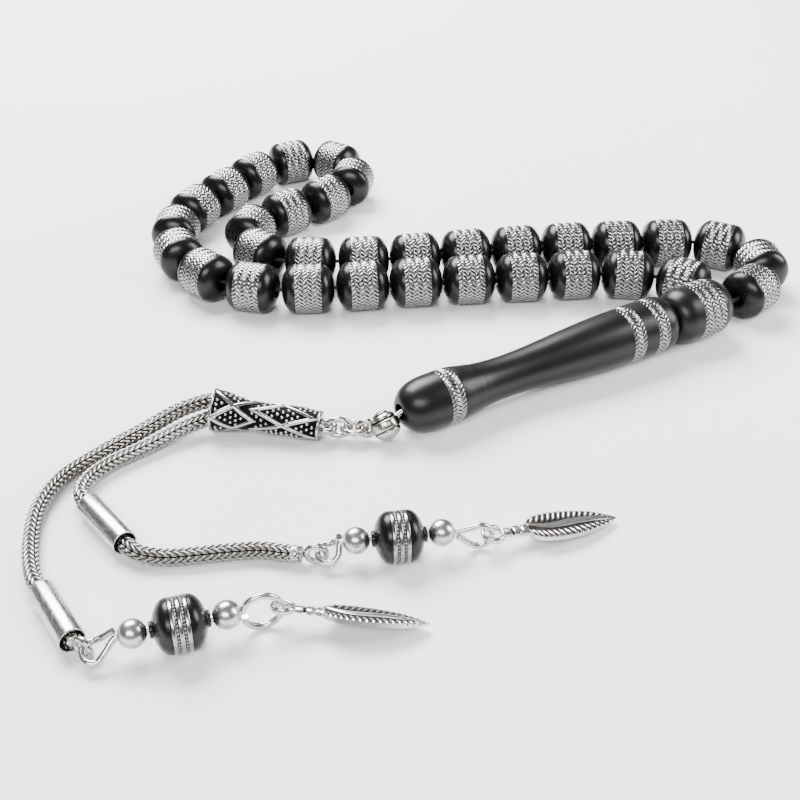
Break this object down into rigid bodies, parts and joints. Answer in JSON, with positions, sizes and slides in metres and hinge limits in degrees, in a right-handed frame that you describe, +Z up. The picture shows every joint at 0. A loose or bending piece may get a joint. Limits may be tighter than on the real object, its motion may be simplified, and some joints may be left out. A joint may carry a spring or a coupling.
{
  "type": "prayer beads",
  "caption": "Misbaha prayer beads: banded black beads on a corded loop, long leader bead and silver tassel with two woven chains, banded drops and feather pendants.",
  "frame": {"origin": "on the table, under the middle of the string's box measured without the cord and the two chains", "axes": "+Z up from the table; +Y from the tassel towards the far end of the bead loop; +X towards the leader's head"},
  "size_m": [0.1128, 0.1365, 0.009],
  "materials": {
    "cord": "black twisted cord, matt",
    "bead_black": "polished black stone, satin",
    "leader_black": "turned black stone, satin",
    "drop_bead_black": "turned black stone, satin",
    "band_silver": "stamped silver with dark oxidised pits",
    "ball_silver": "polished silver",
    "ferrule_silver": "polished silver, faint scratches",
    "chain_silver": "woven silver, oxidised in the gaps",
    "tube_silver": "cast silver, black oxidised ground",
    "tassel_ball_silver": "cast silver, oxidised lines",
    "feather_silver": "cast silver, oxidised grooves",
    "wire_silver": "polished silver wire"
  },
  "bodies": {
    "loop_cord": {"loop_cord": "cord"},
    "bead_01": {"bead_01": "bead_black"},
    "bead_02": {"bead_02": "bead_black"},
    "bead_03": {"bead_03": "bead_black"},
    "bead_04": {"bead_04": "bead_black"},
    "bead_05": {"bead_05": "bead_black"},
    "bead_06": {"bead_06": "bead_black"},
    "bead_07": {"bead_07": "bead_black"},
    "bead_08": {"bead_08": "bead_black"},
    "bead_09": {"bead_09": "bead_black"},
    "bead_10": {"bead_10": "bead_black"},
    "bead_11": {"bead_11": "bead_black"},
    "bead_12": {"bead_12": "bead_black"},
    "bead_13": {"bead_13": "bead_black"},
    "bead_14": {"bead_14": "bead_black"},
    "bead_15": {"bead_15": "bead_black"},
    "bead_16": {"bead_16": "bead_black"},
    "bead_17": {"bead_17": "bead_black"},
    "bead_18": {"bead_18": "bead_black"},
    "bead_19": {"bead_19": "bead_black"},
    "bead_20": {"bead_20": "bead_black"},
    "bead_21": {"bead_21": "bead_black"},
    "bead_22": {"bead_22": "bead_black"},
    "bead_23": {"bead_23": "bead_black"},
    "bead_24": {"bead_24": "bead_black"},
    "bead_25": {"bead_25": "bead_black"},
    "bead_26": {"bead_26": "bead_black"},
    "bead_27": {"bead_27": "bead_black"},
    "bead_28": {"bead_28": "bead_black"},
    "bead_29": {"bead_29": "bead_black"},
    "bead_30": {"bead_30": "bead_black"},
    "bead_31": {"bead_31": "bead_black"},
    "bead_32": {"bead_32": "bead_black"},
    "bead_33": {"bead_33": "bead_black"},
    "leader": {"leader_body": "leader_black", "leader_band_lower": "band_silver", "leader_band_middle": "band_silver", "leader_band_upper": "band_silver"},
    "leader_head": {"leader_head": "leader_black", "leader_band_head": "band_silver"},
    "tassel_ball": {"tassel_ball": "tassel_ball_silver"},
    "link_1": {"link_1": "wire_silver"},
    "link_2": {"link_2": "wire_silver"},
    "end_tube": {"end_tube": "tube_silver"},
    "chain_1": {"chain_1": "chain_silver", "end_ring_1": "wire_silver"},
    "ferrule_1": {"ferrule_1": "ferrule_silver"},
    "pin_1": {"pin_1": "wire_silver"},
    "drop_bead_1": {"drop_bead_1": "drop_bead_black"},
    "drop_ball_1_inner": {"drop_ball_1_inner": "ball_silver"},
    "drop_ball_1_outer": {"drop_ball_1_outer": "ball_silver"},
    "feather_1": {"feather_1": "feather_silver"},
    "chain_2": {"chain_2": "chain_silver", "end_ring_2": "wire_silver"},
    "ferrule_2": {"ferrule_2": "ferrule_silver"},
    "pin_2": {"pin_2": "wire_silver"},
    "drop_bead_2": {"drop_bead_2": "drop_bead_black"},
    "drop_ball_2_inner": {"drop_ball_2_inner": "ball_silver"},
    "drop_ball_2_outer": {"drop_ball_2_outer": "ball_silver"},
    "feather_2": {"feather_2": "feather_silver"}
  },
  "joints": [
    {"name": "leader_swing", "type": "hinge", "parent": "loop_cord", "child": "leader", "pos_m": [0.04081, 0.00651, 0.00456], "axis": [0, 0, 1], "range_deg": [-5, 10]},
    {"name": "tassel_ball_swing", "type": "hinge", "parent": "leader", "child": "tassel_ball", "pos_m": [-0.01059, -0.02349, 0.004], "axis": [0, 0, 1], "range_deg": [-8, 5]},
    {"name": "link_1_swing", "type": "hinge", "parent": "tassel_ball", "child": "link_1", "pos_m": [-0.01643, -0.02448, 0.002], "axis": [0, 0, 1], "range_deg": [-10, 5]},
    {"name": "link_2_swing", "type": "hinge", "parent": "link_1", "child": "link_2", "pos_m": [-0.01753, -0.02442, 0.002], "axis": [0, 0, 1], "range_deg": [-10, 5]},
    {"name": "end_tube_swing", "type": "hinge", "parent": "link_2", "child": "end_tube", "pos_m": [-0.02083, -0.02423, 0.002], "axis": [0, 0, 1], "range_deg": [-10, 5]},
    {"name": "chain_1_swing", "type": "hinge", "parent": "end_tube", "child": "chain_1", "pos_m": [-0.03689, -0.02059, 0.00415], "axis": [0, 0, 1], "range_deg": [-8, 1]},
    {"name": "chain_2_swing", "type": "hinge", "parent": "end_tube", "child": "chain_2", "pos_m": [-0.03719, -0.02239, 0.0023], "axis": [0, 0, 1], "range_deg": [-1, 2]},
    {"name": "ferrule_1_slide", "type": "slide", "parent": "chain_1", "child": "ferrule_1", "axis": [0.5595, -0.8288, 0], "range_m": [-0.0012, 0]},
    {"name": "ferrule_2_slide", "type": "slide", "parent": "chain_2", "child": "ferrule_2", "axis": [0.631, -0.7758, 0], "range_m": [-0.001, 0.0008]},
    {"name": "pin_1_swing", "type": "hinge", "parent": "chain_1", "child": "pin_1", "pos_m": [-0.0449, -0.06665, 0.0016], "axis": [0, 0, 1], "range_deg": [-25, 8]},
    {"name": "pin_2_swing", "type": "hinge", "parent": "chain_2", "child": "pin_2", "pos_m": [-0.0196, -0.05024, 0.0016], "axis": [0, 0, 1], "range_deg": [-25, 12]},
    {"name": "feather_1_swing", "type": "hinge", "parent": "pin_1", "child": "feather_1", "pos_m": [-0.02414, -0.06069, 0.00275], "axis": [0, 0, 1], "range_deg": [-30, 12]},
    {"name": "feather_2_swing", "type": "hinge", "parent": "pin_2", "child": "feather_2", "pos_m": [0.0008, -0.04738, 0.0022], "axis": [0, 0, 1], "range_deg": [-30, 12]},
    {"name": "leader_head_turn", "type": "hinge", "parent": "leader", "child": "leader_head", "pos_m": [0.04081, 0.00651, 0.00456], "axis": [0.8636, 0.5041, 0.0094], "continuous": true},
    {"name": "drop_bead_1_turn", "type": "hinge", "parent": "pin_1", "child": "drop_bead_1", "pos_m": [-0.03529, -0.06389, 0.00325], "axis": [0.9613, 0.2756, 0], "continuous": true},
    {"name": "drop_ball_1_inner_turn", "type": "hinge", "parent": "pin_1", "child": "drop_ball_1_inner", "pos_m": [-0.04038, -0.06535, 0.00325], "axis": [0.9613, 0.2756, 0], "continuous": true},
    {"name": "drop_ball_1_outer_turn", "type": "hinge", "parent": "pin_1", "child": "drop_ball_1_outer", "pos_m": [-0.03019, -0.06243, 0.00325], "axis": [0.9613, 0.2756, 0], "continuous": true},
    {"name": "drop_bead_2_turn", "type": "hinge", "parent": "pin_2", "child": "drop_bead_2", "pos_m": [-0.01069, -0.04899, 0.00325], "axis": [0.9903, 0.1392, 0], "continuous": true},
    {"name": "drop_ball_2_inner_turn", "type": "hinge", "parent": "pin_2", "child": "drop_ball_2_inner", "pos_m": [-0.01594, -0.04973, 0.00325], "axis": [0.9903, 0.1392, 0], "continuous": true},
    {"name": "drop_ball_2_outer_turn", "type": "hinge", "parent": "pin_2", "child": "drop_ball_2_outer", "pos_m": [-0.00544, -0.04825, 0.00325], "axis": [0.9903, 0.1392, 0], "continuous": true},
    {"name": "bead_01_turn", "type": "hinge", "parent": "loop_cord", "child": "bead_01", "pos_m": [0.04665, 0.01106, 0.004], "axis": [0.7171, 0.6969, 0], "continuous": true},
    {"name": "bead_02_turn", "type": "hinge", "parent": "loop_cord", "child": "bead_02", "pos_m": [0.05038, 0.01953, 0.004], "axis": [-0.0943, 0.9955, 0], "continuous": true},
    {"name": "bead_03_turn", "type": "hinge", "parent": "loop_cord", "child": "bead_03", "pos_m": [0.0451, 0.02718, 0.004], "axis": [-0.8952, 0.4457, 0], "continuous": true},
    {"name": "bead_04_turn", "type": "hinge", "parent": "loop_cord", "child": "bead_04", "pos_m": [0.036, 0.0283, 0.004], "axis": [-0.9985, -0.0548, 0], "continuous": true},
    {"name": "bead_05_turn", "type": "hinge", "parent": "loop_cord", "child": "bead_05", "pos_m": [0.02717, 0.02779, 0.004], "axis": [-0.9978, -0.067, 0], "continuous": true},
    {"name": "bead_06_turn", "type": "hinge", "parent": "loop_cord", "child": "bead_06", "pos_m": [0.0183, 0.02702, 0.004], "axis": [-0.994, -0.1094, 0], "continuous": true},
    {"name": "bead_07_turn", "type": "hinge", "parent": "loop_cord", "child": "bead_07", "pos_m": [0.00948, 0.02584, 0.004], "axis": [-0.9885, -0.1511, 0], "continuous": true},
    {"name": "bead_08_turn", "type": "hinge", "parent": "loop_cord", "child": "bead_08", "pos_m": [0.00074, 0.02448, 0.004], "axis": [-0.9877, -0.1566, 0], "continuous": true},
    {"name": "bead_09_turn", "type": "hinge", "parent": "loop_cord", "child": "bead_09", "pos_m": [-0.00799, 0.02304, 0.004], "axis": [-0.9863, -0.1647, 0], "continuous": true},
    {"name": "bead_10_turn", "type": "hinge", "parent": "loop_cord", "child": "bead_10", "pos_m": [-0.0168, 0.02178, 0.004], "axis": [-0.994, -0.1092, 0], "continuous": true},
    {"name": "bead_11_turn", "type": "hinge", "parent": "loop_cord", "child": "bead_11", "pos_m": [-0.02582, 0.02141, 0.004], "axis": [-0.9992, 0.0407, 0], "continuous": true},
    {"name": "bead_12_turn", "type": "hinge", "parent": "loop_cord", "child": "bead_12", "pos_m": [-0.03465, 0.02425, 0.004], "axis": [-0.7677, 0.6408, 0], "continuous": true},
    {"name": "bead_13_turn", "type": "hinge", "parent": "loop_cord", "child": "bead_13", "pos_m": [-0.03719, 0.03308, 0.004], "axis": [0.3021, 0.9533, 0], "continuous": true},
    {"name": "bead_14_turn", "type": "hinge", "parent": "loop_cord", "child": "bead_14", "pos_m": [-0.03139, 0.04031, 0.004], "axis": [0.7891, 0.6142, 0], "continuous": true},
    {"name": "bead_15_turn", "type": "hinge", "parent": "loop_cord", "child": "bead_15", "pos_m": [-0.0246, 0.04619, 0.004], "axis": [0.7011, 0.713, 0], "continuous": true},
    {"name": "bead_16_turn", "type": "hinge", "parent": "loop_cord", "child": "bead_16", "pos_m": [-0.01996, 0.05421, 0.004], "axis": [0.1873, 0.9823, 0], "continuous": true},
    {"name": "bead_17_turn", "type": "hinge", "parent": "loop_cord", "child": "bead_17", "pos_m": [-0.02317, 0.06285, 0.004], "axis": [-0.8019, 0.5975, 0], "continuous": true},
    {"name": "bead_18_turn", "type": "hinge", "parent": "loop_cord", "child": "bead_18", "pos_m": [-0.03237, 0.06356, 0.004], "axis": [-0.8921, -0.4519, 0], "continuous": true},
    {"name": "bead_19_turn", "type": "hinge", "parent": "loop_cord", "child": "bead_19", "pos_m": [-0.03907, 0.05719, 0.004], "axis": [-0.5758, -0.8176, 0], "continuous": true},
    {"name": "bead_20_turn", "type": "hinge", "parent": "loop_cord", "child": "bead_20", "pos_m": [-0.04386, 0.0497, 0.004], "axis": [-0.5364, -0.844, 0], "continuous": true},
    {"name": "bead_21_turn", "type": "hinge", "parent": "loop_cord", "child": "bead_21", "pos_m": [-0.04837, 0.04195, 0.004], "axis": [-0.4164, -0.9092, 0], "continuous": true},
    {"name": "bead_22_turn", "type": "hinge", "parent": "loop_cord", "child": "bead_22", "pos_m": [-0.05052, 0.03301, 0.004], "axis": [-0.023, -0.9997, 0], "continuous": true},
    {"name": "bead_23_turn", "type": "hinge", "parent": "loop_cord", "child": "bead_23", "pos_m": [-0.04859, 0.02396, 0.004], "axis": [0.4266, -0.9044, 0], "continuous": true},
    {"name": "bead_24_turn", "type": "hinge", "parent": "loop_cord", "child": "bead_24", "pos_m": [-0.04295, 0.01664, 0.004], "axis": [0.759, -0.6511, 0], "continuous": true},
    {"name": "bead_25_turn", "type": "hinge", "parent": "loop_cord", "child": "bead_25", "pos_m": [-0.03477, 0.01231, 0.004], "axis": [0.9711, -0.2388, 0], "continuous": true},
    {"name": "bead_26_turn", "type": "hinge", "parent": "loop_cord", "child": "bead_26", "pos_m": [-0.02564, 0.0118, 0.004], "axis": [0.9977, 0.0677, 0], "continuous": true},
    {"name": "bead_27_turn", "type": "hinge", "parent": "loop_cord", "child": "bead_27", "pos_m": [-0.01675, 0.0128, 0.004], "axis": [0.9899, 0.1419, 0], "continuous": true},
    {"name": "bead_28_turn", "type": "hinge", "parent": "loop_cord", "child": "bead_28", "pos_m": [-0.00798, 0.01396, 0.004], "axis": [0.9935, 0.1138, 0], "continuous": true},
    {"name": "bead_29_turn", "type": "hinge", "parent": "loop_cord", "child": "bead_29", "pos_m": [0.00082, 0.01486, 0.004], "axis": [0.9956, 0.0935, 0], "continuous": true},
    {"name": "bead_30_turn", "type": "hinge", "parent": "loop_cord", "child": "bead_30", "pos_m": [0.00964, 0.01565, 0.004], "axis": [0.9959, 0.091, 0], "continuous": true},
    {"name": "bead_31_turn", "type": "hinge", "parent": "loop_cord", "child": "bead_31", "pos_m": [0.01845, 0.0165, 0.004], "axis": [0.9961, 0.0886, 0], "continuous": true},
    {"name": "bead_32_turn", "type": "hinge", "parent": "loop_cord", "child": "bead_32", "pos_m": [0.02746, 0.0166, 0.004], "axis": [0.9953, -0.0966, 0], "continuous": true},
    {"name": "bead_33_turn", "type": "hinge", "parent": "loop_cord", "child": "bead_33", "pos_m": [0.03626, 0.01387, 0.004], "axis": [0.8561, -0.5168, 0], "continuous": true}
  ]
}
